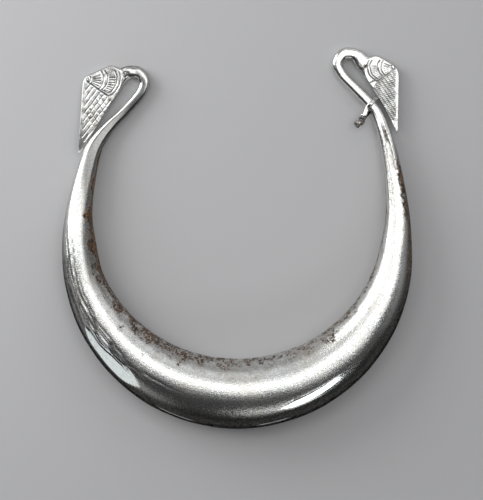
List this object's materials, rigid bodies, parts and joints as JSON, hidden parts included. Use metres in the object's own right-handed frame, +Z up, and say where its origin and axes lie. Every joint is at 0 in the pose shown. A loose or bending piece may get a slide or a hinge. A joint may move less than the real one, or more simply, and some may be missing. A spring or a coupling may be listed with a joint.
{
  "type": "neck ring",
  "caption": "Silver crescent neck ring, heavy in the middle, tapering to slim necks that loop back into flat engraved bird-wing finials; a twist of flat wire hangs on the right neck.",
  "frame": {"origin": "middle of the ring's bounding box in plan, at the level of the ground it lies on", "axes": "+Z up, out of the engraved face; +Y from the heavy middle of the crescent to the finials; +X to the right when the engraved face is looked at with the finials up"},
  "size_m": [0.161, 0.175, 0.0275],
  "materials": {
    "ring_silver": "worn satin silver, bright on rubbed places, brown pitted tarnish along the inner edge",
    "wire_silver": "worn silver wire, dark in its twists"
  },
  "bodies": {
    "root": {"neck_ring": "ring_silver", "wire_loop": "wire_silver"}
  },
  "joints": []
}
